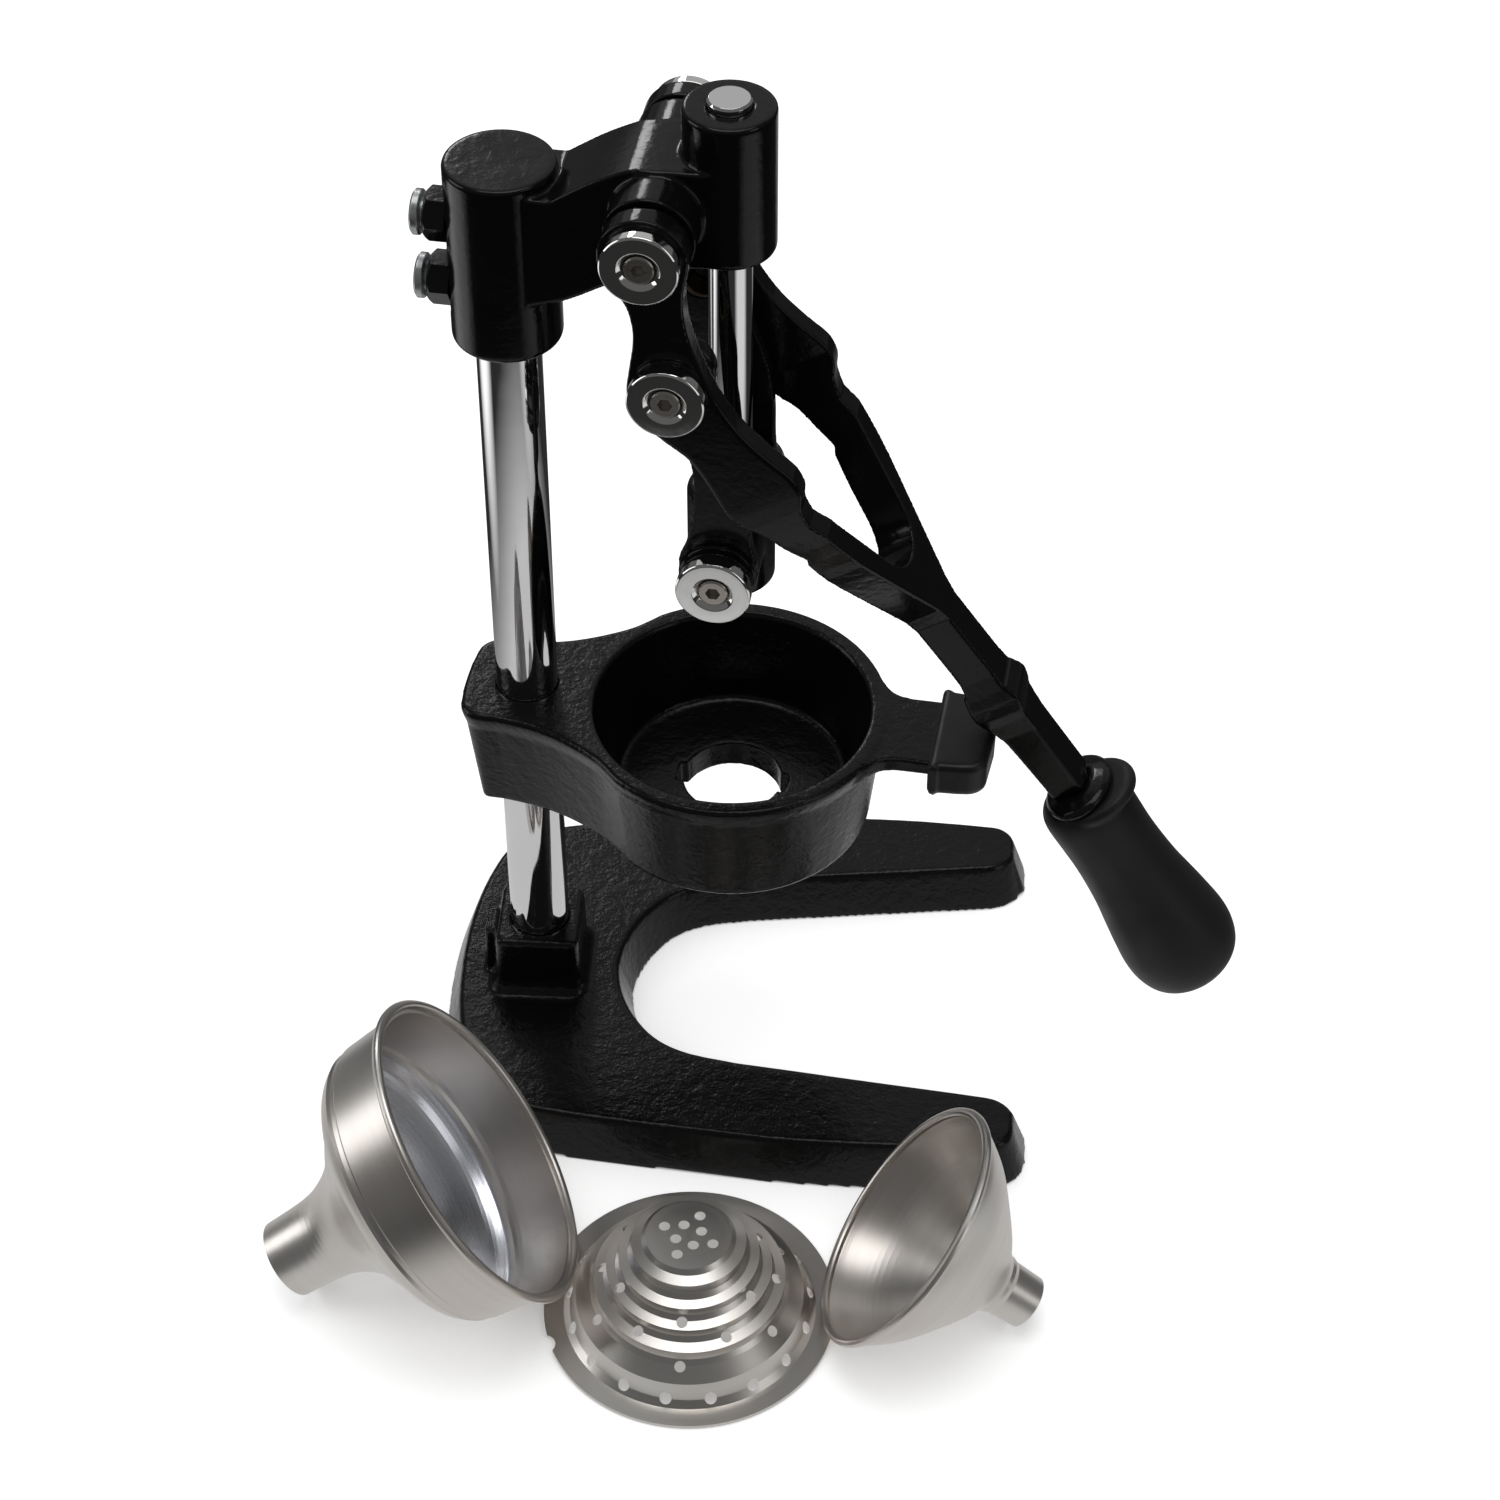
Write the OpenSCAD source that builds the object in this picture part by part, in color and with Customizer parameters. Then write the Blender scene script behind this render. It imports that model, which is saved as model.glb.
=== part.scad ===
// Hand lever citrus press: horseshoe base, chromed column, bowl bracket, toggle lever and
// straight running ram, with its loose juice funnel, strainer and press cup.
// Millimetres. The origin is on the column's axis, on the surface that the press stands on.
// +X runs from the column to the bowl, +Z is up, and the press is symmetrical about Y = 0.

/* [Base and column] */
// Height of the horseshoe plate
base_h = 20; // [16:1:26]
// Height of the top of the column socket above the ground
base_boss_top = 49; // [42:1:56]
// How much further out the plate's sides are at the ground than at the top
base_draft = 6.5; // [3:0.5:8]
// Angle that the base stands turned under the bracket and the head, which are clamped to the round column
base_turn = 6.4; // [-10:0.1:10]
// Diameter of the chromed column
column_d = 25; // [22:0.5:28]

/* [Bowl bracket] */
// Distance from the column's axis to the ram's axis
ram_reach = 84.5; // [82:0.5:88]
// Height of the bracket's top face above the ground
bracket_top = 185; // [175:1:195]
// Depth of the bracket
bracket_h = 52.5; // [45:0.5:55]
// Radius of the bowl's mouth
bowl_mouth_r = 56; // [54:0.5:57]
// Radius of the bowl's floor
bowl_floor_r = 48; // [45:0.5:50]
// Outer radius of the bowl
bowl_outer_r = 63.5; // [62:0.5:65]
// Radius of the outlet in the bowl's floor
outlet_r = 20; // [18:0.5:22]

/* [Head] */
// Height of the top of the column socket of the head above the ground
head_top = 438.5; // [435:0.5:442]
// Outer radius of the head's column socket
head_socket_r = 21; // [19:0.5:22]
// Height of the top of the ram guide above the ground
guide_top = 471.5; // [468:0.5:475]
// Outer radius of the ram guide, and half the thickness of the web
guide_r = 17.25; // [16:0.25:18]

/* [Lever and ram] */
// Diameter of the ram rod
ram_d = 16.5; // [15:0.5:17]
// Radius of the lever's upper eyes
lever_eye_r = 16.5; // [15.5:0.5:17]
// Thickness of each of the lever's side plates
lever_plate_t = 9.5; // [8:0.5:10]
// Width of the lever's shank
shank_w = 16.6; // [14:0.2:18]
// Length of the rubber grip
grip_len = 110.5; // [104:0.5:114]
// Radius of the polished pivot caps
cap_r = 14.5; // [13:0.5:15]
// Thickness of the polished pivot caps
cap_t = 7; // [6:0.5:8]

/* [Loose parts] */
// Outer radius of the strainer's rim
strainer_r = 59; // [57:0.5:60]
// Height of the strainer
strainer_h = 46; // [42:1:50]
// Outer radius of the funnel's rolled rim
funnel_r = 67; // [60:0.5:70]
// Outer radius of the press cup's rolled rim
cup_r = 53.5; // [50:0.5:55]
// Thickness of the pressed steel sheet
sheet_t = 1.2; // [1:0.1:2]
// Radius of the strainer's juice holes
strainer_hole_r = 2.2; // [1.8:0.1:2.6]

/* [Hidden] */

$fn = 64;
eps = 0.01;
fit = 0.05;
column_r = column_d / 2;
ram_r = ram_d / 2;
sides = [-1, 1];

// Pivots as [x, z]: A in the head, B between lever and links, C in the crosshead.
pivot_a = [ram_reach - 23.5, 433.5];
pivot_b = pivot_a + [8.5, -58];
pivot_c = [ram_reach, 279.5];

// Heights of the bracket, the head and the column.
bracket_low = bracket_top - bracket_h;
bowl_floor = bracket_low + 12.5;
head_low = head_top - 77;
guide_low = guide_top - 60.5;
column_foot = 6;
column_top = head_top - 5;
base_end = 205;
base_screw_heights = [29, 40];
bracket_screw_heights = [bracket_top - 32, bracket_top - 12];

// The stack along Y at each pivot, measured from Y = 0.
boss_y = 33;
link_in = 25.5;
link_out = 31;
link_boss_out = 35;
lever_in = 36;
lever_out = lever_in + lever_plate_t;
shaft_r = 6;
screw_r = 3.3;
countersink_r = 8;

// The lever's slanted run: its direction, and the distances along it from pivot A.
slant = 55;
fork_start = 108;
fork_bend = 168;
shank_start = 209;
knuckle_mid = 261;
shank_end = 313.6;
shank_t = 16;
shank_axis_offset = -21.9;

// The grip's axis: its upper end as [x, z], and its angle below horizontal.
grip_foot = [ram_reach + 142, 161];
grip_slant = 59;
grip_shift = 1.2;
lip_shift = 4.6;

// The loose parts' places on the ground, and how far two of them lean.
strainer_at = [94.3, -160];
funnel_at = [8.5, -147.4, 67.5];
funnel_turn = 198.5;
funnel_tilt = 33.5;
cup_at = [176.6, -140.7, 46.6];
cup_turn = -0.7;
cup_tilt = 35.9;

black = [0.05, 0.05, 0.055];
steel = [0.72, 0.71, 0.69];
chrome = [0.82, 0.83, 0.85];
zinc = [0.7, 0.73, 0.68];
rubber = [0.08, 0.08, 0.085];

// Points on an arc from angle a0 to angle a1, both ends included.
function arc(centre, r, a0, a1, steps = 8) =
    [for (i = [0:steps]) centre + r * [cos(a0 + (a1 - a0) * i / steps), sin(a0 + (a1 - a0) * i / steps)]];

// A smooth curve through p, with steps points on each span.
function curve(p, steps = 5) = [
    for (i = [0:len(p) - 2], k = [0:steps - 1])
        let (a = p[max(i - 1, 0)], b = p[i], c = p[i + 1], d = p[min(i + 2, len(p) - 1)], u = k / steps)
            0.5 * (2 * b + (c - a) * u + (2 * a - 5 * b + 4 * c - d) * u * u
                + (3 * b - a - 3 * c + d) * u * u * u),
    p[len(p) - 1]];

// The closed loop moved outwards by g, for a loop that runs clockwise.
function grown(p, g) = [for (i = [0:len(p) - 1])
    let (n = len(p), d = p[(i + 1) % n] - p[(i + n - 1) % n]) p[i] + g * [-d[1], d[0]] / norm(d)];

// The half outline and its mirror image in the X axis, as one closed loop. Both its ends lie on the axis.
function mirrored(half) = concat(half, [for (i = [len(half) - 2:-1:1]) [half[i][0], -half[i][1]]]);

// A solid whose rings are [height, growth] pairs from low to high. Half its outline is given,
// clockwise from its lowest x to its highest, so its two faces are strips from side to side.
module ringed(half, rings) {
    p = mirrored(half);
    n = len(p);
    h = len(half);
    m = len(rings);
    points = [for (ring = rings, q = grown(p, ring[1])) [q[0], q[1], ring[0]]];
    walls = [for (k = [0:m - 2], i = [0:n - 1])
        [k * n + i, (k + 1) * n + i, (k + 1) * n + (i + 1) % n, k * n + (i + 1) % n]];
    face = concat([[0, 1, n - 1]], [for (i = [1:h - 3]) [i, i + 1, n - i - 1, n - i]], [[h - 2, h - 1, h]]);
    high = [for (f = face) [for (i = f) (m - 1) * n + i]];
    low = [for (f = face) [for (k = [len(f) - 1:-1:0]) f[k]]];
    polyhedron(points, concat(low, walls, high));
}

// A cylinder along Y through the pivot, from y0 to y1 on the near side and on the far side.
module both_sides(pivot, r, y0, y1) {
    for (side = sides)
        translate([pivot[0], side * y0, pivot[1]])
            rotate([-90 * side, 0, 0]) cylinder(r = r, h = y1 - y0);
}

// A cylinder along Y through the pivot and through both sides.
module across(pivot, r, y1) {
    translate([pivot[0], y1, pivot[1]]) rotate([90, 0, 0]) cylinder(r = r, h = 2 * y1);
}

// An [x, z] outline extruded along Y from y0 to y1.
module side_plate(outline, y0, y1) {
    translate([0, y1, 0]) rotate([90, 0, 0]) linear_extrude(y1 - y0) polygon(outline);
}

// ---- base and column ----

// Half of the horseshoe's outer edge at the top, clockwise from the middle of the rear.
base_outer = concat(
    curve([[-34.5, 0], [-33.8, 19], [-31.5, 37], [-27.5, 54], [-21.5, 69], [-11, 79], [4, 84.5], [29, 88.3],
        [80, 93.6], [113, 96.3], [155, 96.8], [185, 95.3]]),
    arc([195, 84.5], 10, 80, 5, 6),
    [[base_end, 0]]);

// Half of the edge of the U that the plate leaves open, clockwise from its middle.
base_inner = concat(
    curve([[33, 0], [35, 13], [41, 27.5], [51.5, 41], [66, 49.2], [88, 54]]),
    [[150, 61.9]],
    arc([192.2, 81.3], 14, -83, -25, 5),
    [[226, 84], [230, 0]]);

// Half of a square with rounded corners.
function rounded_square_half(a, r) = concat([[-a, 0]], arc([r - a, a - r], r, 180, 90, 4),
    arc([a - r, a - r], r, 90, 0, 4), [[a, 0]]);

module base_casting() {
    color(black) rotate(base_turn) difference() {
        union() {
            difference() {
                ringed(base_outer, [[0, base_draft], [base_h - 3, 1], [base_h - 1, 0.2], [base_h, -1.2]]);
                ringed(base_inner, [[-1, -base_draft], [0, -base_draft], [base_h - 3, -1], [base_h - 1, -0.2],
                    [base_h + eps, 1.2], [base_h + 5, 1.2]]);
            }
            ringed(rounded_square_half(17.5, 3), [[base_h - 4, 6], [base_h, 4], [base_h + 3, 2],
                [base_h + 7, 1],
                [base_boss_top - 1.5, 0.3], [base_boss_top, -1]]);
            translate([-23.5, -7, base_h - 2]) cube([8, 14, base_boss_top - base_h - 2]);
        }
        translate([0, 0, column_foot]) cylinder(r = column_r + fit, h = base_boss_top);
        for (z = base_screw_heights) grub_hole([-25, 0, z], 12.5);
    }
}

// The hole for a grub screw that runs along +X from p.
module grub_hole(p, length) {
    translate(p) rotate([0, 90, 0]) cylinder(r = 4.05, h = length, $fn = 32);
}

// A grub screw with a hexagon socket, along +X from p.
module grub_screw(p, length) {
    translate(p) rotate([0, 90, 0]) difference() {
        union() {
            cylinder(r = 4, h = length - 1, $fn = 32);
            translate([0, 0, length - 1 - eps]) cylinder(r1 = 4, r2 = 3, h = 1, $fn = 32);
        }
        translate([0, 0, -1]) cylinder(r = 2.3, h = 5, $fn = 6);
    }
}

module base_grub_screws() {
    color(steel) rotate(base_turn)
        for (z = base_screw_heights) grub_screw([-column_r - 9.6, 0, z], 9.5);
}

module column() {
    color(chrome) rotate_extrude() polygon([[0, column_foot], [column_r - 1, column_foot],
        [column_r, column_foot + 1], [column_r, column_top - 1], [column_r - 1, column_top], [0, column_top]]);
}

// ---- bowl bracket ----

stub_half = 18.5;
stub_t = 7;
stub_end = ram_reach + 93;
stub_turn = -0.7;

// Half of the bracket's outline, clockwise from the rear: the clamp, the flare and the bowl.
function bracket_half() = concat(
    [[-25.2, 0], [-25, 8]],
    arc([-14.7, 14.9], 9.5, 170, 98, 5),
    curve([[-8, 24.4], [4.5, 26.3], [14.5, 29.2], [25, 34], [35.4, 40.3], [42.5, 46.9]]),
    arc([ram_reach, 0], bowl_outer_r, 128, 4, 30),
    [[ram_reach + bowl_outer_r, 0]]);

module bowl_bracket() {
    color(black) difference() {
        union() {
            ringed(bracket_half(), [[bracket_low, -8], [bracket_low + 1.5, -6.8], [bracket_top - 9, -2],
                [bracket_top - 4.5, -0.6], [bracket_top - 1.5, 0], [bracket_top, -1.3]]);
            // the ear that carries the lever's bumper, flared where it leaves the bowl
            rotate(stub_turn) translate([0, 0, bracket_top - stub_t]) linear_extrude(stub_t - 0.5)
                polygon(mirrored(concat([[ram_reach + 50, 0]],
                    [[ram_reach + 50, 33]],
                    curve([[ram_reach + 57.5, 27.5], [ram_reach + 61.5, 22.3], [ram_reach + 65.5, 19.6],
                        [ram_reach + 71, stub_half]]),
                    [[stub_end, stub_half], [stub_end, 0]])));
        }
        translate([0, 0, bracket_low - 1]) cylinder(r = column_r + fit, h = bracket_h + 2);
        bowl_space();
        for (z = bracket_screw_heights) grub_hole([-25, 0, z], 13);
    }
}

// The inside of the bowl, its outlet and the two notches beside the outlet.
module bowl_space() {
    translate([ram_reach, 0, 0]) rotate_extrude($fn = 96) polygon(concat(
        [[0, bowl_floor], [bowl_floor_r - 3, bowl_floor]],
        arc([bowl_floor_r - 3, bowl_floor + 3], 3, -90, -12, 5),
        [[bowl_mouth_r - 0.3, bracket_top - 1.5], [bowl_mouth_r + 1, bracket_top + 0.3],
            [bowl_mouth_r + 1, bracket_top + 5],
            [0, bracket_top + 5]]));
    translate([ram_reach, 0, bracket_low - 1]) cylinder(r = outlet_r, h = 20);
    translate([ram_reach, 0, bracket_low - 1]) intersection() {
        cylinder(r = outlet_r + 2.8, h = 20);
        translate([-40, -5.5, 0]) cube([80, 11, 20]);
    }
}

module bracket_grub_screws() {
    color(steel) for (z = bracket_screw_heights) grub_screw([-column_r - 8.6, 0, z], 8.5);
}

// A rubber boot pulled over the ear: a lip at its mouth and a blunt, rounded end.
module bumper_boot() {
    mouth = ram_reach + 83;
    body = concat([[mouth, 0], [mouth, 23.5], [mouth + 3.5, 24], [mouth + 4.5, 23], [mouth + 12, 22.5]],
        arc([mouth + 15, 13.5], 8.5, 80, 20, 5), [[mouth + 24, 0]]);
    color(rubber) rotate(stub_turn) difference() {
        ringed(body, [[bracket_top - 14, -2.5], [bracket_top - 12, -0.6], [bracket_top - 10, 0],
            [bracket_top + 0.5, 0], [bracket_top + 2, -0.8], [bracket_top + 2.6, -2.5]]);
        translate([mouth - 5, -stub_half - fit, bracket_top - stub_t - fit])
            cube([stub_end - mouth + 5 + fit, 2 * (stub_half + fit), stub_t - 0.5 + 2 * fit]);
    }
}

// ---- head ----

bolt_heights = [head_top - 26, head_top - 54.5];
bolt_r = 6;
nut_flats = 18;
nut_t = 8.6;
nut_face = -19.6 - nut_t;

module head_casting() {
    web = concat(
        [[8, head_top - 4.5], [18, head_top - 4.5]],
        arc([20.5, head_top - 0.5], 4, -90, -60, 3),
        curve([[25, head_top - 2.2], [36, head_top + 5], [47, head_top + 10.8], [53, head_top + 12.8],
            [62, head_top + 13.4]]),
        [[ram_reach, head_top + 13.7], [ram_reach, guide_low + 1], [62, guide_low]],
        curve([[58, guide_low - 1.6], [41, head_top - 39], [28, head_top - 46.4], [21, head_top - 49],
            [12, head_top - 51.6], [6, head_top - 52]]));
    color(black) difference() {
        union() {
            rotate_extrude() polygon(concat([[0, head_low], [head_socket_r - 2.5, head_low]],
                arc([head_socket_r - 2.5, head_low + 2.5], 2.5, -90, 0, 5),
                [[head_socket_r, head_top - 0.8], [head_socket_r - 0.8, head_top], [0, head_top]]));
            side_plate(web, -guide_r, guide_r);
            translate([ram_reach, 0, 0]) rotate_extrude() polygon(concat([[0, guide_low],
                [guide_r - 2.5, guide_low]],
                arc([guide_r - 2.5, guide_low + 2.5], 2.5, -90, 0, 5),
                [[guide_r, guide_top - 0.8], [guide_r - 0.8, guide_top], [0, guide_top]]));
            across(pivot_a, 17, boss_y);
        }
        translate([0, 0, head_low - 1]) cylinder(r = column_r + fit, h = column_top + fit - head_low + 1);
        translate([ram_reach, 0, guide_low - 1]) cylinder(r = ram_r + fit, h = guide_top - guide_low + 2);
        across(pivot_a, shaft_r + fit, boss_y + 1);
        for (z = bolt_heights)
            translate([-head_socket_r - 5, 0, z]) rotate([0, 90, 0]) cylinder(r = bolt_r + fit, h = 18,
                $fn = 32);
        // flats on the rear of the socket for the lock nuts
        for (z = bolt_heights)
            translate([-head_socket_r - 5, 0, z]) rotate([0, 90, 0]) cylinder(r = 12.2, h = 6.4, $fn = 48);
    }
}

// The set bolts that lock the head to the column: flat round heads on threaded shanks.
module head_set_bolts() {
    color(zinc) for (z = bolt_heights)
        translate([nut_face - 5, 0, z]) rotate([0, 90, 0]) rotate_extrude($fn = 48)
            polygon([[0, 0], [7.6, 0], [8.6, 0.8], [8.6, 3], [7.8, 3.8], [bolt_r, 3.8],
                [bolt_r, 5 - nut_face - column_r - fit], [0, 5 - nut_face - column_r - fit]]);
}

// Hexagon lock nuts with chamfered outer corners.
module head_lock_nuts() {
    nut_r = nut_flats / 2 / cos(30);
    color(black) for (z = bolt_heights)
        translate([nut_face, 0, z]) rotate([0, 90, 0]) difference() {
            intersection() {
                rotate([0, 0, 30]) cylinder(r = nut_r, h = nut_t, $fn = 6);
                rotate_extrude($fn = 48) polygon([[0, 0], [nut_r - 1.8, 0], [nut_r, 1.6],
                    [nut_r, nut_t + 1], [0, nut_t + 1]]);
            }
            translate([0, 0, -1]) cylinder(r = bolt_r + fit, h = 14, $fn = 32);
        }
}

// ---- pivots ----

// The polished cap at a pivot: a thick washer with a stepped rim, countersunk for its screw.
module pivot_caps(pivot, y0) {
    for (side = sides)
        translate([pivot[0], side * y0, pivot[1]]) rotate([-90 * side, 0, 0]) rotate_extrude() polygon([
            [screw_r + fit, 0], [cap_r - 0.8, 0], [cap_r - 0.8, 2], [cap_r, 2.4], [cap_r, cap_t - 0.7],
            [cap_r - 0.7, cap_t], [countersink_r, cap_t], [5.95, cap_t - 1.9], [5.95, cap_t - 4.4],
                [screw_r + fit, cap_t - 4.4]]);
}

// Cap screws with hexagon sockets, whose shanks reach depth into the pivot.
module cap_screws(pivot, y0, depth) {
    for (side = sides)
        translate([pivot[0], side * y0, pivot[1]]) rotate([-90 * side, 0, 0]) difference() {
            rotate_extrude($fn = 48) polygon([[0, -depth], [screw_r - 0.5, -depth], [screw_r, -depth + 0.5],
                [screw_r, cap_t - 4.4], [5.85, cap_t - 4.4], [5.85, cap_t - 1.3], [5.2, cap_t - 0.7],
                    [0, cap_t - 0.7]]);
            translate([0, 0, cap_t - 3.6]) cylinder(r = 2.9, h = 5, $fn = 6);
        }
}

// A round shaft through both sides, drilled at its ends for the cap screws.
module pivot_shaft(pivot, r, y1) {
    difference() {
        across(pivot, r, y1);
        both_sides(pivot, screw_r + fit, y1 - 13, y1 + 1);
    }
}

module head_pivot_shaft() {
    color(steel) pivot_shaft(pivot_a, shaft_r, lever_out);
}

module head_pivot_caps() {
    color(chrome) pivot_caps(pivot_a, lever_out);
}

module head_cap_screws() {
    color(steel) cap_screws(pivot_a, lever_out, 11);
}

module middle_pivot_pins() {
    color(steel) difference() {
        both_sides(pivot_b, shaft_r, lever_in, lever_out);
        both_sides(pivot_b, screw_r + fit, lever_out - 8, lever_out + 1);
    }
}

module middle_pivot_caps() {
    color(chrome) pivot_caps(pivot_b, lever_out);
}

module middle_cap_screws() {
    color(steel) cap_screws(pivot_b, lever_out, 7);
}

module crosshead_pin() {
    color(steel) pivot_shaft(pivot_c, shaft_r - 1, link_boss_out);
}

module crosshead_caps() {
    color(chrome) pivot_caps(pivot_c, link_boss_out + 0.3);
}

module crosshead_cap_screws() {
    color(steel) cap_screws(pivot_c, link_boss_out + 0.3, 11);
}

// ---- lever ----

// A point of the slanted run, s along it from pivot A and t square to it, as [x, z].
function on_slant(s, t) = pivot_a + [s * cos(slant) + t * sin(slant), t * cos(slant) - s * sin(slant)];

// The lever seen from the side, clockwise from the rear of the upper eye.
function lever_profile() =
    let (top = shank_axis_offset + shank_t / 2, low = shank_axis_offset - shank_t / 2) concat(
        arc(pivot_a, lever_eye_r, 200, -12, 20),
        curve([pivot_a + [14.6, -12], pivot_a + [14.2, -18], pivot_a + [15, -27], pivot_a + [18, -39.5],
            pivot_a + [25.6, -59], pivot_a + [35.4, -74], pivot_a + [46, -84.5], pivot_a + [54, -91.5],
            pivot_a + [57.5, -99], pivot_a + [57.6, -106], pivot_a + [60.5, -114]]),
        curve([on_slant(136, top + 0.2), on_slant(knuckle_mid - 16, top), on_slant(knuckle_mid - 9, top + 0.8),
            on_slant(knuckle_mid - 3, top + 2.8), on_slant(knuckle_mid + 3, top + 1.6),
            on_slant(knuckle_mid + 10, top), on_slant(shank_end, top - 1)]),
        curve([on_slant(shank_end, low + 1), on_slant(knuckle_mid + 19, low), on_slant(knuckle_mid + 8,
            low - 2.4),
            on_slant(knuckle_mid, low - 3.8), on_slant(knuckle_mid - 9, low - 2.6),
                on_slant(knuckle_mid - 16, low),
            on_slant(210, low), on_slant(165, low - 0.8), on_slant(146, low)]),
        curve([pivot_a + [59, -133.6], pivot_a + [51.6, -128], pivot_a + [43.4, -121], pivot_a + [35.4, -116.8],
            pivot_a + [29.5, -111.5], pivot_a + [24, -101], pivot_a + [16, -88], pivot_a + [4, -78],
            pivot_b + [-12.5, -10]]),
        arc(pivot_b, 15.5, 205, 172, 4),
        curve([pivot_a + [-5.4, -46], pivot_a + [-4.3, -38], pivot_a + [-4.2, -31],
            pivot_a + [-6, -22], pivot_a + [-10, -15]]));

// Half of the lever seen square to its slanted run, as [s, y]: a side plate that swings in to the shank.
function lever_half_plan() = concat(
    [[-30, lever_in], [-30, lever_out], [fork_start, lever_out]],
    arc([fork_start, lever_out - 122], 122, 88, 62, 8),
    [[shank_start - 3, shank_w / 2 + 2]],
    [[shank_start + 4, shank_w / 2], [knuckle_mid - 16, shank_w / 2], [knuckle_mid - 8, shank_w / 2 + 1],
        [knuckle_mid - 3, shank_w / 2 + 1.9], [knuckle_mid + 3, shank_w / 2 + 1.9],
        [knuckle_mid + 8, shank_w / 2 + 1],
        [knuckle_mid + 16, shank_w / 2], [shank_end + 10, shank_w / 2],
        [shank_end + 10, 0]],
    curve([[184, 0], [183.3, 5.2], [180.8, 10.6], [176.2, 15.2], [170, 18.3], [163, 21], [150, 26],
        [138, 30.5], [124, 33.8], [fork_start, lever_in]]));

module lever() {
    color(black) difference() {
        union() {
            intersection() {
                side_plate(lever_profile(), -60, 60);
                translate([pivot_a[0], 0, pivot_a[1]]) rotate([0, slant, 0]) translate([0, 0, -150])
                    linear_extrude(300) for (side = sides) scale([1, side]) polygon(lever_half_plan());
            }
            // the tang inside the grip
            translate([grip_foot[0], 0, grip_foot[1]]) rotate([0, 90 + grip_slant, 0])
                translate([0, 0, -8]) cylinder(r = 6, h = 68, $fn = 32);
        }
        both_sides(pivot_a, shaft_r, lever_in - 5, lever_out + 5);
        both_sides(pivot_b, shaft_r, lever_in - 5, lever_out + 5);
    }
}

// Places its children with +Z along the grip's axis and +X up and outwards.
module along_grip() {
    translate([grip_foot[0], 0, grip_foot[1]]) rotate([0, 90 + grip_slant, 0]) children();
}

// The oval flange cast round the end of the shank.
module grip_collar() {
    oval = [for (i = [0:20]) [-14.6 * cos(9 * i), 18 * sin(9 * i)]];
    color(black) difference() {
        along_grip() ringed(oval, [[-4, -6], [-2.5, -1.5], [-1, 0], [0.6, 0], [1.4, -1]]);
        along_grip() translate([0, 0, -20]) cylinder(r = 6 + fit, h = 60, $fn = 32);
    }
}

module grip() {
    outer = curve([[14.8, 1.6], [17.6, 4], [18.8, 9], [18.6, 20], [18.4, 31], [18.8, 42], [19.8, 54],
        [21.4, 65],
        [22.9, 76], [24, 87], [23.4, 95.5], [20.6, 103], [14.5, 108.4], [8, grip_len]]);
    color(rubber) difference() {
        union() {
            along_grip() translate([grip_shift, 0, 0]) rotate_extrude()
                polygon(concat([[0, 1.6]], outer, [[0, grip_len + 0.6]]));
            // the lip that guards the fingers, on the underside of the mouth
            along_grip() translate([-lip_shift, 0, 1.6]) rotate_extrude()
                polygon(concat([[0, 0]], arc([15.4, 3], 3, -90, 60, 6), [[10, 9.5], [0, 9.5]]));
        }
        along_grip() translate([0, 0, -20]) cylinder(r = 6 + fit, h = 80.2, $fn = 32);
    }
}

// ---- links and ram ----

// A link seen from the side: a wide eye at the crosshead, a waist, and an eye behind the lever's plate.
function link_profile() = concat(
    arc(pivot_c, 15.2, -190, 10, 20),
    curve([pivot_c + [15, 7], pivot_c + [12.9, 16], pivot_c + [12.4, 26], pivot_c + [12.2, 40],
        pivot_c + [10, 58],
        pivot_c + [5, 74], pivot_b + [14.8, -8]]),
    arc(pivot_b, 15, -10, 200, 16),
    curve([pivot_b + [-13.4, -9], pivot_b + [-9, -20], pivot_c + [-11.6, 57], pivot_c + [-9.2, 48],
        pivot_c + [-8.8, 36],
        pivot_c + [-9.5, 24], pivot_c + [-12, 14], pivot_c + [-15, 6]]));

module link(side) {
    y0 = side > 0 ? link_in : -link_out;
    color(black) difference() {
        union() {
            side_plate(link_profile(), y0, y0 + link_out - link_in);
            for (pivot = [pivot_b, pivot_c])
                translate([pivot[0], side * (link_in + 2), pivot[1]])
                    rotate([-90 * side, 0, 0]) cylinder(r = 14, h = link_boss_out - link_in - 2);
        }
        across(pivot_c, shaft_r - 1 + fit, 60);
        across(pivot_b, 8, 60);
    }
}

module link_near() {
    link(-1);
}

module link_far() {
    link(1);
}

module link_bushes() {
    color([0.72, 0.55, 0.3]) difference() {
        both_sides(pivot_b, 8, link_in, link_boss_out);
        both_sides(pivot_b, shaft_r + 0.4, link_in - 1, link_boss_out + 1);
    }
}

crosshead_low = pivot_c[1] - 23;
crosshead_high = pivot_c[1] + 21;
cup_socket_r = 12.4;
cup_socket_depth = 16;
rod_foot = pivot_c[1] + 6;

module ram_rod() {
    color(chrome) translate([ram_reach, 0, 0]) rotate_extrude() polygon([[0, rod_foot], [ram_r - 0.8, rod_foot],
        [ram_r, rod_foot + 0.8], [ram_r, guide_top + 2.2], [ram_r - 0.8, guide_top + 3], [0, guide_top + 3]]);
}

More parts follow.
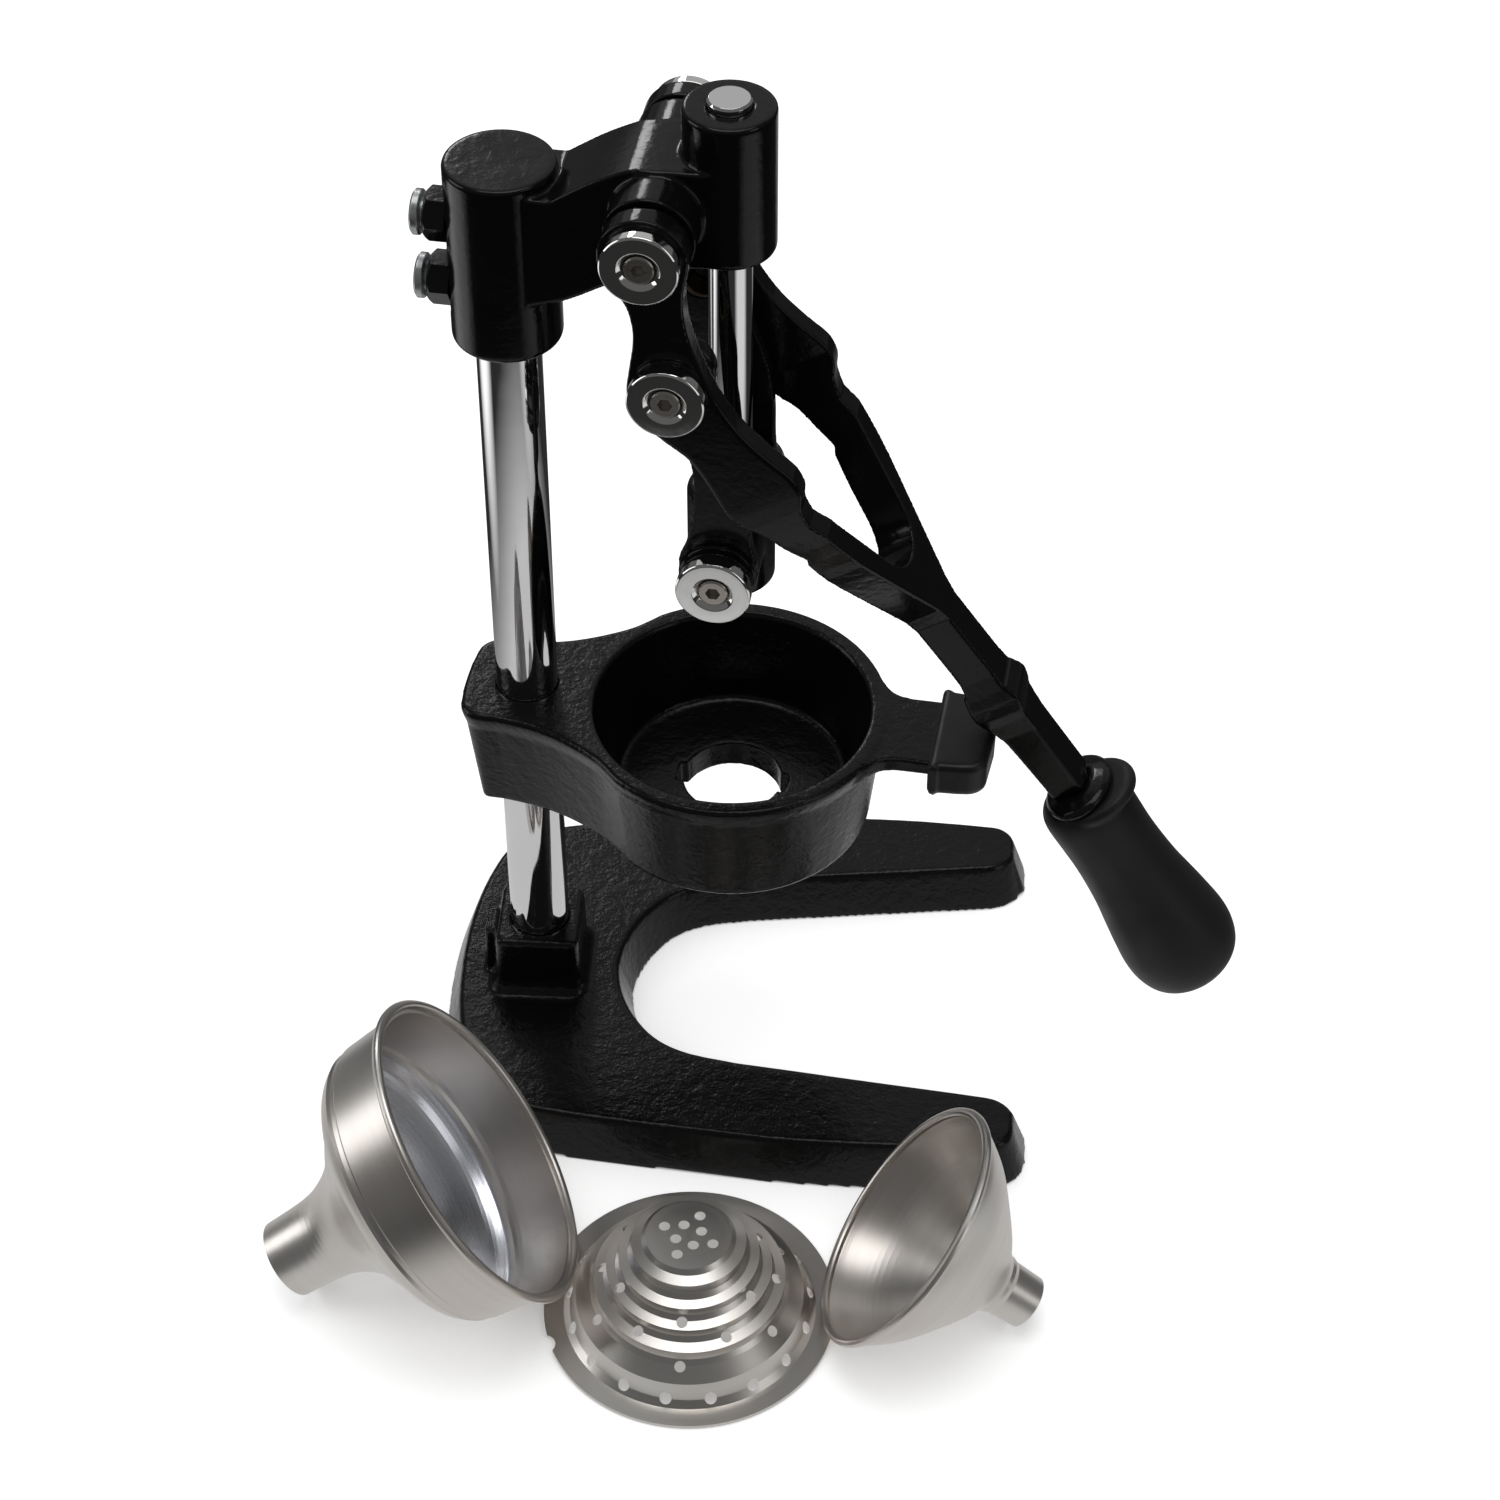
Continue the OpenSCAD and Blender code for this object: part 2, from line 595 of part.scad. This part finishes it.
module ram_crosshead() {
    color(black) difference() {
        union() {
            translate([ram_reach, 0, 0]) rotate_extrude() polygon(concat(
                [[0, crosshead_low], [15.5, crosshead_low]], arc([15.5, crosshead_low + 1.5], 1.5, -90, 0, 3),
                arc([14, crosshead_high - 3], 3, 0, 90, 4), [[0, crosshead_high]]));
            across(pivot_c, 15, link_in - 0.4);
        }
        translate([ram_reach, 0, rod_foot - fit]) cylinder(r = ram_r + fit, h = 50);
        across(pivot_c, shaft_r - 1 + fit, 60);
        translate([ram_reach, 0, crosshead_low - 1]) cylinder(r = cup_socket_r, h = cup_socket_depth + 1);
        translate([ram_reach, 0, crosshead_low + 4]) rotate_extrude() translate([cup_socket_r - 1, 0])
            square([3.2, 2.2]);
    }
}

// A rubber ring in the crosshead's socket that grips the press cup's stem.
module cup_retaining_ring() {
    color(rubber) translate([ram_reach, 0, crosshead_low + 5.1]) rotate_extrude()
        translate([cup_socket_r + 1.1, 0]) circle(r = 1, $fn = 24);
}

// ---- loose parts ----

// Places its children with +Z along the loose part's axis, from its rim towards its tube.
module lying(at, turn, tilt) {
    translate(at) rotate([0, 0, turn]) rotate([0, 90 + tilt, 0]) children();
}

// A straight sided funnel with a rolled rim, a pressed groove, a rounded shoulder, a cone and a tube.
module juice_funnel() {
    wall = funnel_r - 3;
    groove = [[wall - 2.4, 23], [wall - 2.7, 26.2], [wall - 4, 27.4], [wall - 4.2, 29.4]];
    outline = concat([[wall - 0.5, 3]], groove, curve([[wall - 3.9, 31], [wall - 8, 36.5], [wall - 18, 43],
        [40, 47.5], [28, 57], [21, 67], [17.6, 78], [16.4, 97]]));
    color(steel) lying(funnel_at, funnel_turn, funnel_tilt) rotate_extrude($fn = 96) polygon(concat(
        arc([funnel_r - 2, 2], 2, 160, 430, 12),
        outline, [[15.2, 97]],
        [for (i = [len(outline) - 1:-1:0]) outline[i] - [sheet_t + (i < 2 ? 0.4 : 0),
            i < 2 ? 0 : sheet_t * 0.7]]));
}

// The perforated cone: a flat crown and four steps down to a flat rim.
module strainer() {
    steps = [[18.9, 46], [24.5, 38], [29.5, 31], [34.5, 24], [40, 16.5], [49.5, 3]];
    outline = concat([for (i = [0:len(steps) - 2], q = [steps[i] - [1.8, -0.2], steps[i] - [0, 1.6],
        (steps[i] + steps[i + 1]) / 2 + [1.2, 0.9]]) q], [steps[5] + [-1, 1.2], steps[5] + [1.5, -1.4]]);
    crown = [for (q = outline) [q[0], q[1] * strainer_h / 46]];
    color(steel) translate(concat(strainer_at, [0])) difference() {
        rotate_extrude($fn = 96) polygon(concat([[0, crown[0][1]]], crown,
            [[strainer_r, 1.6], [strainer_r, 0], [crown[len(crown) - 1][0] - 0.6, 0]],
            [for (i = [len(crown) - 1:-1:0]) crown[i] - [sheet_t, sheet_t * 0.8]],
            [[0, crown[0][1] - sheet_t * 0.8]]));
        // holes: two squares in the crown, six on each of three steps and a row round the foot
        for (a = [0:3], q = [[10.6, 75], [5.4, 30]])
            rotate(a * 90 + q[1]) translate([q[0], 0, 30]) cylinder(r = strainer_hole_r, h = 20, $fn = 16);
        for (k = [2:4], a = [0:5])
            rotate(a * 60 + 5 + 30 * ((k + 1) % 2)) translate([steps[k][0] + 0.9, 0, steps[k][1] - 1.2])
                rotate([0, 40, 0]) translate([0, 0, -6]) cylinder(r = strainer_hole_r, h = 12, $fn = 16);
        for (a = [0:16]) rotate(a * 360 / 17 - 91) translate([steps[5][0] - 0.8, 0, steps[5][1] + 1.6])
            rotate([0, 40, 0]) translate([0, 0, -6]) cylinder(r = strainer_hole_r + 0.2, h = 14, $fn = 16);
        rotate(208) translate([strainer_r + 2.2, 0, -1]) cylinder(r = 4.5, h = 6, $fn = 32);
    }
}

// The press cup: a bell with a beaded rim, a neck band and a stem for the crosshead's socket.
module press_cup() {
    outline = curve([[cup_r - 2, 4], [cup_r - 4.5, 9], [42.6, 18.5], [33, 28.5], [23, 38], [15.5, 44],
        [12.8, 47.2]]);
    color(steel) lying(cup_at, cup_turn, cup_tilt) difference() {
        rotate_extrude($fn = 96) polygon(concat(
            arc([cup_r - 2, 2], 2, 200, 450, 10),
            outline, [[12.5, 49], [11.6, 51], [11.1, 64], [10.4, 64.5], [0, 64.5]],
            [[0, 46], [8, 45.5]],
            [for (i = [len(outline) - 1:-1:0]) outline[i] - [sheet_t * 1.1, sheet_t * 0.9]]));
        translate([0, 0, 48]) cylinder(r = 9.6, h = 20);
    }
}

base_casting();
base_grub_screws();
column();
bowl_bracket();
bracket_grub_screws();
bumper_boot();
head_casting();
head_set_bolts();
head_lock_nuts();
head_pivot_shaft();
head_pivot_caps();
head_cap_screws();
lever();
middle_pivot_pins();
middle_pivot_caps();
middle_cap_screws();
grip_collar();
grip();
link_near();
link_far();
link_bushes();
ram_rod();
ram_crosshead();
cup_retaining_ring();
crosshead_pin();
crosshead_caps();
crosshead_cap_screws();
juice_funnel();
strainer();
press_cup();
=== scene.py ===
import math
import bmesh
import bpy
from mathutils import Matrix, Vector


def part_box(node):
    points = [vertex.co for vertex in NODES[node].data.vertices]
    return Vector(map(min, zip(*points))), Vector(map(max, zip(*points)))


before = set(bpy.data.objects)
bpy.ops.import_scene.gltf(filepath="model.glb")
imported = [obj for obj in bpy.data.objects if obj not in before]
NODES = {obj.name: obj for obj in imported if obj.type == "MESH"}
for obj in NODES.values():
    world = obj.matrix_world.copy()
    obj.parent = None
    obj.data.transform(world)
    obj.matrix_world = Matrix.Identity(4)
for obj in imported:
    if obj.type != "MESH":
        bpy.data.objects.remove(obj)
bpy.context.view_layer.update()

MM = 0.001


# ---------------------------------------------------------------- materials

class Graph:
    """A node material, built a line at a time."""

    def __init__(self, name):
        self.material = bpy.data.materials.new(name)
        self.material.use_nodes = True
        self.tree = self.material.node_tree
        self.shader = self.tree.nodes["Principled BSDF"]
        self.coords = self.add("ShaderNodeTexCoord").outputs["Object"]

    def add(self, kind, **values):
        node = self.tree.nodes.new(kind)
        for key, value in values.items():
            setattr(node, key, value)
        return node

    def link(self, source, target):
        self.tree.links.new(source, target)

    def set(self, **values):
        for key, value in values.items():
            self.shader.inputs[key.replace("_", " ")].default_value = value

    def noise(self, scale, detail=2.0, roughness=0.5, vector=None, distortion=0.0):
        node = self.add("ShaderNodeTexNoise")
        node.inputs["Scale"].default_value = scale
        node.inputs["Detail"].default_value = detail
        node.inputs["Roughness"].default_value = roughness
        node.inputs["Distortion"].default_value = distortion
        self.link(vector or self.coords, node.inputs["Vector"])
        return node.outputs["Fac"]

    def remap(self, source, low, high, to_low, to_high):
        node = self.add("ShaderNodeMapRange")
        node.inputs["From Min"].default_value = low
        node.inputs["From Max"].default_value = high
        node.inputs["To Min"].default_value = to_low
        node.inputs["To Max"].default_value = to_high
        self.link(source, node.inputs["Value"])
        return node.outputs["Result"]

    def math(self, operation, a, b=None):
        node = self.add("ShaderNodeMath", operation=operation)
        for socket, value in zip(node.inputs, (a, b)):
            if isinstance(value, (int, float)):
                socket.default_value = value
            elif value is not None:
                self.link(value, socket)
        return node.outputs[0]

    def vector_math(self, operation, a, b=None):
        node = self.add("ShaderNodeVectorMath", operation=operation)
        for socket, value in zip(node.inputs, (a, b)):
            if isinstance(value, (tuple, Vector)):
                socket.default_value = value
            elif value is not None:
                self.link(value, socket)
        return node.outputs["Value"] if operation in ("LENGTH", "DOT_PRODUCT") else node.outputs[0]

    def bump(self, height, distance, strength=1.0, below=None):
        node = self.add("ShaderNodeBump")
        node.inputs["Distance"].default_value = distance
        node.inputs["Strength"].default_value = strength
        self.link(height, node.inputs["Height"])
        if below is not None:
            self.link(below, node.inputs["Normal"])
        return node.outputs["Normal"]

    def mix(self, fac, a, b):
        node = self.add("ShaderNodeMix", data_type="RGBA")
        self.link(fac, node.inputs["Factor"])
        for socket, value in ((node.inputs[6], a), (node.inputs[7], b)):
            if isinstance(value, tuple):
                socket.default_value = value
            else:
                self.link(value, socket)
        return node.outputs[2]

    def colour(self, source):
        self.link(source, self.shader.inputs["Base Color"])

    def rough(self, source):
        self.link(source, self.shader.inputs["Roughness"])

    def normal(self, source):
        self.link(source, self.shader.inputs["Normal"])


def grey(value, tint=(1.0, 1.0, 1.0)):
    return (value * tint[0], value * tint[1], value * tint[2], 1.0)


def enamel(name, peel, grain, rough):
    """Stove enamel over a casting: orange peel, and the grain of the sand below it."""
    g = Graph(name)
    g.set(Specular_IOR_Level=0.2, Coat_Weight=0.07, Coat_Roughness=0.07)
    mottle = g.noise(38.0, 3.0)
    g.colour(g.mix(mottle, grey(0.0035), grey(0.0075, (1.0, 0.98, 1.0))))
    broad = g.bump(g.noise(150.0, 1.0, distortion=0.6), 0.0007, peel)
    peeled = g.bump(g.noise(330.0, 2.0, distortion=0.4), 0.0005, peel, broad)
    sand = g.bump(g.noise(700.0, 3.0, 0.6), 0.00036, grain, peeled)
    g.normal(sand)
    g.rough(g.remap(g.noise(55.0, 4.0), 0.3, 0.7, rough * 0.75, rough * 1.3))
    return g.material


def chrome(name, rough, value):
    g = Graph(name)
    g.set(Metallic=1.0)
    g.colour(g.mix(g.noise(25.0, 3.0), grey(value), grey(value * 0.9, (1.0, 1.0, 1.02))))
    g.rough(g.remap(g.noise(140.0, 5.0), 0.35, 0.75, rough, rough * 2.2))
    g.normal(g.bump(g.noise(70.0, 1.0), 0.0002, 0.2))
    return g.material


def along(g, centre, axis):
    """Distance from an axis, and height along it, as sockets."""
    rel = g.vector_math("SUBTRACT", g.coords, Vector(centre))
    height = g.vector_math("DOT_PRODUCT", rel, Vector(axis))
    part = g.add("ShaderNodeVectorMath", operation="SCALE")
    part.inputs[0].default_value = Vector(axis)
    g.link(height, part.inputs["Scale"])
    out = g.vector_math("SUBTRACT", rel, part.outputs[0])
    return g.vector_math("LENGTH", out), height, out


def combine(g, x, y, z=0.0):
    node = g.add("ShaderNodeCombineXYZ")
    for socket, value in zip(node.inputs, (x, y, z)):
        if isinstance(value, (int, float)):
            socket.default_value = value
        else:
            g.link(value, socket)
    return node.outputs[0]


def turned(name, centre, axis, value, tint, rough, step):
    """Metal spun or turned on an axis: fine rings round it, and a soft broad mottle."""
    g = Graph(name)
    g.set(Metallic=1.0)
    radius, height, _ = along(g, centre, axis)
    rings = g.noise(1.0, 2.0, 0.6, combine(g, g.math("MULTIPLY", radius, 1.0 / step),
                                          g.math("MULTIPLY", height, 1.0 / step)))
    bands = g.noise(1.0, 2.0, 0.5, combine(g, g.math("MULTIPLY", radius, 0.11 / step),
                                          g.math("MULTIPLY", height, 0.11 / step), 4.0))
    cloud = g.noise(34.0, 4.0, 0.55, distortion=0.6)
    warm = g.mix(cloud, grey(value, tint), grey(value * 0.82, (tint[0], tint[1] * 0.97, tint[2] * 0.93)))
    g.colour(g.mix(g.remap(bands, 0.35, 0.7, 0.0, 0.45), warm, grey(value * 1.08, (1.0, 1.0, 1.0))))
    g.rough(g.remap(rings, 0.3, 0.7, rough * 0.8, rough * 1.3))
    fine = g.bump(rings, step * 0.05, 0.35)
    g.normal(g.bump(g.noise(60.0, 2.0), 0.0006, 0.12, fine))
    return g.material


def spun_sheet(name, centre, axis, rough, polished_from=None):
    """Satin steel sheet spun on an axis; past a height its inner side is bright and bluish."""
    g = Graph(name)
    g.set(Metallic=1.0, Anisotropic=0.15)
    radius, height, outward = along(g, centre, axis)
    fine_step, broad_step = 0.00045, 0.0042
    rings = g.noise(1.0, 2.0, 0.6, combine(g, g.math("MULTIPLY", radius, 1.0 / fine_step),
                                          g.math("MULTIPLY", height, 1.0 / fine_step)))
    bands = g.noise(1.0, 1.0, 0.5, combine(g, g.math("MULTIPLY", radius, 1.0 / broad_step),
                                          g.math("MULTIPLY", height, 1.0 / broad_step), 4.0))
    cloud = g.noise(17.0, 2.0, 0.45)
    pale, warm = grey(0.68, (1.0, 0.97, 0.925)), grey(0.63, (1.0, 0.92, 0.85))
    satin = g.mix(g.remap(cloud, 0.35, 0.68, 0.0, 1.0), pale, warm)
    base = g.mix(g.remap(bands, 0.3, 0.7, 0.0, 0.25), satin, grey(0.76, (1.0, 0.98, 0.95)))
    rough_out = g.remap(rings, 0.3, 0.7, rough * 0.94, rough * 1.08)
    if polished_from is not None:
        facing = g.add("ShaderNodeNewGeometry").outputs["Normal"]
        inner = g.math("LESS_THAN", g.vector_math("DOT_PRODUCT", facing, outward), 0.0)
        bright = g.math("MULTIPLY", inner, g.math("GREATER_THAN", height, polished_from))
        base = g.mix(bright, base, grey(0.92, (0.95, 0.97, 1.04)))
        rough_out = g.math("SUBTRACT", rough_out, g.math("MULTIPLY", bright, rough * 0.15))
    g.colour(base)
    g.rough(rough_out)
    g.normal(g.bump(rings, fine_step * 0.02, 0.12, g.bump(g.noise(26.0, 1.0), 0.0005, 0.08)))
    return g.material


def plated(name, value, rough, tint=(1.0, 1.0, 1.0)):
    g = Graph(name)
    g.set(Metallic=0.95)
    g.colour(g.mix(g.noise(260.0, 5.0), grey(value, tint), grey(value * 0.72, tint)))
    g.rough(g.remap(g.noise(420.0, 4.0), 0.3, 0.7, rough * 0.8, rough * 1.35))
    g.normal(g.bump(g.noise(900.0, 3.0), 0.00006, 0.5))
    return g.material


def soft_rubber(name, value, rough):
    g = Graph(name)
    g.set(Specular_IOR_Level=0.30, Sheen_Weight=0.08, Sheen_Roughness=0.5)
    g.colour(g.mix(g.noise(30.0, 4.0), grey(value), grey(value * 1.7, (1.0, 0.98, 0.96))))
    g.rough(g.remap(g.noise(75.0, 4.0), 0.3, 0.7, rough * 0.9, rough * 1.15))
    grainy = g.bump(g.noise(1500.0, 3.0, 0.6), 0.00008, 0.5)
    g.normal(g.bump(g.noise(120.0, 2.0), 0.0003, 0.12, grainy))
    return g.material


# ---------------------------------------------------------------- CAD nodes, carried over

def dress(node, material):
    data = NODES[node].data
    data.materials.clear()
    data.materials.append(material)


def cast(node, voxel, rounds, material):
    """The CAD solid as a casting: every edge and corner softened."""
    obj = NODES[node]
    remesh = obj.modifiers.new("cast_skin", "REMESH")
    remesh.mode = "VOXEL"
    remesh.voxel_size = voxel * MM
    remesh.use_smooth_shade = True
    smooth = obj.modifiers.new("cast_fillets", "SMOOTH")
    smooth.factor = 0.5
    smooth.iterations = rounds
    dress(node, material)


def machined(node, width, material, segments=2):
    """The CAD solid with its machined edges broken."""
    obj = NODES[node]
    weld = obj.modifiers.new("one_skin", "WELD")
    weld.merge_threshold = 0.002 * MM
    bevel = obj.modifiers.new("broken_edges", "BEVEL")
    bevel.limit_method = "ANGLE"
    bevel.angle_limit = math.radians(28)
    bevel.width = width * MM
    bevel.segments = segments
    bevel.use_clamp_overlap = True
    bevel.harden_normals = False
    normals = obj.modifiers.new("even_shading", "WEIGHTED_NORMAL")
    normals.keep_sharp = False
    for polygon in obj.data.polygons:
        polygon.use_smooth = True
    dress(node, material)


def centre_of(node):
    low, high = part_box(node)
    return (low + high) / 2


glossy = enamel("enamel_gloss", 0.13, 0.06, 0.14)
sandy = enamel("enamel_sand", 0.42, 0.50, 0.17)
column_chrome = chrome("chrome_column", 0.035, 0.78)
zinc = plated("zinc_plate", 0.62, 0.34, (0.97, 1.0, 1.02))
rubber = soft_rubber("rubber_grip", 0.006, 0.46)
boot_rubber = soft_rubber("rubber_boot", 0.005, 0.34)

cast("base_casting", 0.9, 4, sandy)
cast("bowl_bracket", 0.8, 4, sandy)
cast("head_casting", 0.7, 4, glossy)
cast("lever", 0.6, 5, glossy)
cast("link_near", 0.5, 3, glossy)
cast("link_far", 0.5, 3, glossy)
cast("grip_collar", 0.5, 4, glossy)
cast("bumper_boot", 0.6, 5, boot_rubber)
cast("ram_crosshead", 0.5, 2, glossy)

for node in ("base_grub_screws", "bracket_grub_screws", "head_set_bolts"):
    machined(node, 0.35, zinc)
machined("head_lock_nuts", 0.6, glossy)
for node in ("column", "ram_rod"):
    machined(node, 0.8, column_chrome)
for node in ("head_pivot_shaft", "crosshead_pin", "middle_pivot_pins"):
    machined(node, 0.3, plated("steel_" + node, 0.5, 0.3))
machined("link_bushes", 0.3, plated("bronze", 0.10, 0.35, (1.0, 0.76, 0.50)))
dress("cup_retaining_ring", boot_rubber)
cast("grip", 0.8, 5, rubber)

for caps, screws in (("head_pivot_caps", "head_cap_screws"),
                     ("middle_pivot_caps", "middle_cap_screws"),
                     ("crosshead_caps", "crosshead_cap_screws")):
    middle = centre_of(caps)
    machined(caps, 0.3, turned("chrome_" + caps, middle, (0, 1, 0), 0.80, (1, 1, 1), 0.05, 0.00035), 3)
    machined(screws, 0.2, turned("steel_" + screws, middle, (0, 1, 0), 0.5, (1.0, 0.93, 0.85), 0.25, 0.0003))


def lying_axis(turn, tilt):
    """The axis of a loose part that lies turned and tilted, from its rim towards its tube."""
    turn, tilt = math.radians(turn), math.radians(tilt)
    return Vector((math.cos(tilt) * math.cos(turn), math.cos(tilt) * math.sin(turn), -math.sin(tilt)))


FUNNEL_RIM = Vector((8.5, -147.4, 67.5)) * MM
FUNNEL_CONE_FROM = 29.5 * MM
CUP_RIM = Vector((176.6, -140.7, 46.6)) * MM
STRAINER_FOOT = Vector((94.3, -160.0, 0.0)) * MM
SATIN = 0.33
BLASTED = 0.30

dress("juice_funnel", spun_sheet("sheet_funnel", FUNNEL_RIM, lying_axis(198.5, 33.5), SATIN, FUNNEL_CONE_FROM))
dress("press_cup", spun_sheet("sheet_cup", CUP_RIM, lying_axis(-0.7, 35.9), SATIN))
dress("strainer", spun_sheet("sheet_strainer", STRAINER_FOOT, Vector((0, 0, 1)), BLASTED))

# ---------------------------------------------------------------- studio

floor_mesh = bpy.data.meshes.new("studio_floor")
floor_build = bmesh.new()
bmesh.ops.create_grid(floor_build, x_segments=2, y_segments=2, size=6.0)
floor_build.to_mesh(floor_mesh)
floor_build.free()
floor = bpy.data.objects.new("studio_floor", floor_mesh)
bpy.context.scene.collection.objects.link(floor)
floor.location = (0, 0, -0.0004)


def glow_patch(g, x, y, width, depth, level):
    """A soft glowing patch painted into the floor's emission, at a place, seen only in reflections."""
    rel = g.vector_math("SUBTRACT", g.coords, (x, y, 0.0))
    scaled = g.vector_math("DIVIDE", rel, (width, depth, 1.0))
    return g.remap(g.vector_math("LENGTH", scaled), 0.6, 1.15, level, 0.0)


paper = Graph("studio_paper")
# the paper glows so that the camera sees it white; ambient occlusion darkens that glow near the parts, which
# paints a contact shadow into the floor
paper.set(Specular_IOR_Level=0.1, Emission_Strength=0.76)
near_shade = paper.add("ShaderNodeAmbientOcclusion", samples=8)
near_shade.inputs["Distance"].default_value = 0.075
paper.link(paper.mix(paper.remap(near_shade.outputs["AO"], 0.05, 0.8, 0.0, 1.0), grey(0.22), grey(1.0)),
           paper.shader.inputs["Emission Color"])
paper.colour(paper.mix(paper.noise(3.0), grey(0.88), grey(0.90)))
paper.rough(paper.remap(paper.noise(40.0), 0.0, 1.0, 0.75, 0.85))
# painted reflection: glowing patches in the floor's emission, which only reflected rays see and the shiny
# parts mirror: a pool of painted light round the press, then left, right and behind
GLOW_UNDER_PRESS = (0.06, -0.10, 0.38, 0.36, 0.62)
GLOW_AROUND = ((-0.62, -0.02, 0.30, 0.30, 1.3), (0.62, -0.28, 0.26, 0.34, 0.75), (0.0, 0.75, 0.5, 0.3, 0.4))
# the dim painted glow of the floor everywhere else, seen only in reflections
GLOW_ELSEWHERE = 0.03
mirrored_glow = glow_patch(paper, *GLOW_UNDER_PRESS)
for patch in GLOW_AROUND:
    mirrored_glow = paper.math("ADD", mirrored_glow, glow_patch(paper, *patch))
# every ray except the camera's sees the floor as this painted glow; the camera sees the paper
lit = paper.add("ShaderNodeEmission")
paper.link(paper.math("ADD", mirrored_glow, GLOW_ELSEWHERE), lit.inputs["Strength"])
seen = paper.add("ShaderNodeLightPath")
choose = paper.add("ShaderNodeMixShader")
paper.link(seen.outputs["Is Camera Ray"], choose.inputs[0])
paper.link(lit.outputs[0], choose.inputs[1])
paper.link(paper.shader.outputs[0], choose.inputs[2])
paper.link(choose.outputs[0], paper.tree.nodes["Material Output"].inputs["Surface"])
floor_mesh.materials.append(paper.material)

world = bpy.data.worlds.new("studio")
bpy.context.scene.world = world
world.use_nodes = True
tree = world.node_tree
back = tree.nodes["Background"]
back.inputs["Color"].default_value = (1, 1, 1, 1)
path = tree.nodes.new("ShaderNodeLightPath")
level = tree.nodes.new("ShaderNodeMapRange")
level.inputs["To Min"].default_value = 0.13
level.inputs["To Max"].default_value = 1.1
tree.links.new(path.outputs["Is Camera Ray"], level.inputs["Value"])
tree.links.new(level.outputs["Result"], back.inputs["Strength"])


def softbox(name, place, target, width, height, radiance):
    """A rectangular light, by how bright its face looks."""
    data = bpy.data.lights.new(name, "AREA")
    data.shape = "RECTANGLE"
    data.size = width
    data.size_y = height
    data.energy = radiance * math.pi * width * height
    lamp = bpy.data.objects.new(name, data)
    bpy.context.scene.collection.objects.link(lamp)
    lamp.location = place
    lamp.rotation_euler = (Vector(target) - Vector(place)).to_track_quat("-Z", "Y").to_euler()
    return lamp


softbox("back_panel", (-0.1, 1.9, 1.75), (0.08, 0.0, 0.2), 3.2, 1.7, 0.36)
softbox("overhead", (0.1, 0.1, 2.3), (0.08, 0.0, 0.2), 1.5, 1.2, 2.3)
softbox("left_box", (-1.7, -0.3, 0.9), (0.05, 0.0, 0.25), 0.9, 1.3, 2.0)
softbox("right_box", (1.6, -0.7, 0.9), (0.1, 0.0, 0.25), 0.6, 1.3, 1.0)
softbox("sparkle", (-0.75, 1.9, 1.5), (0.05, 0.0, 0.1), 0.35, 0.35, 8.0)

# ---------------------------------------------------------------- camera

AZIMUTH, PITCH, ROLL = math.radians(9.45), math.radians(41.51), math.radians(0.12)
CAMERA_PLACE = Vector((0.2708, -1.0580, 1.1763))
level_run = math.cos(PITCH)
forward = Vector((-math.sin(AZIMUTH) * level_run, math.cos(AZIMUTH) * level_run, -math.sin(PITCH)))
right = Vector((math.cos(AZIMUTH), math.sin(AZIMUTH), 0.0))
up = right.cross(forward)
right, up = (right * math.cos(ROLL) + up * math.sin(ROLL),
             up * math.cos(ROLL) - right * math.sin(ROLL))
lens = bpy.data.cameras.new("camera")
lens.sensor_width = 36.0
lens.lens = 86.91
lens.shift_x = -0.0048
lens.shift_y = -0.0806
camera = bpy.data.objects.new("camera", lens)
bpy.context.scene.collection.objects.link(camera)
camera.matrix_world = Matrix((
    (right.x, up.x, -forward.x, CAMERA_PLACE.x),
    (right.y, up.y, -forward.y, CAMERA_PLACE.y),
    (right.z, up.z, -forward.z, CAMERA_PLACE.z),
    (0, 0, 0, 1),
))
bpy.context.scene.camera = camera
bpy.context.scene.view_settings.view_transform = "Standard"
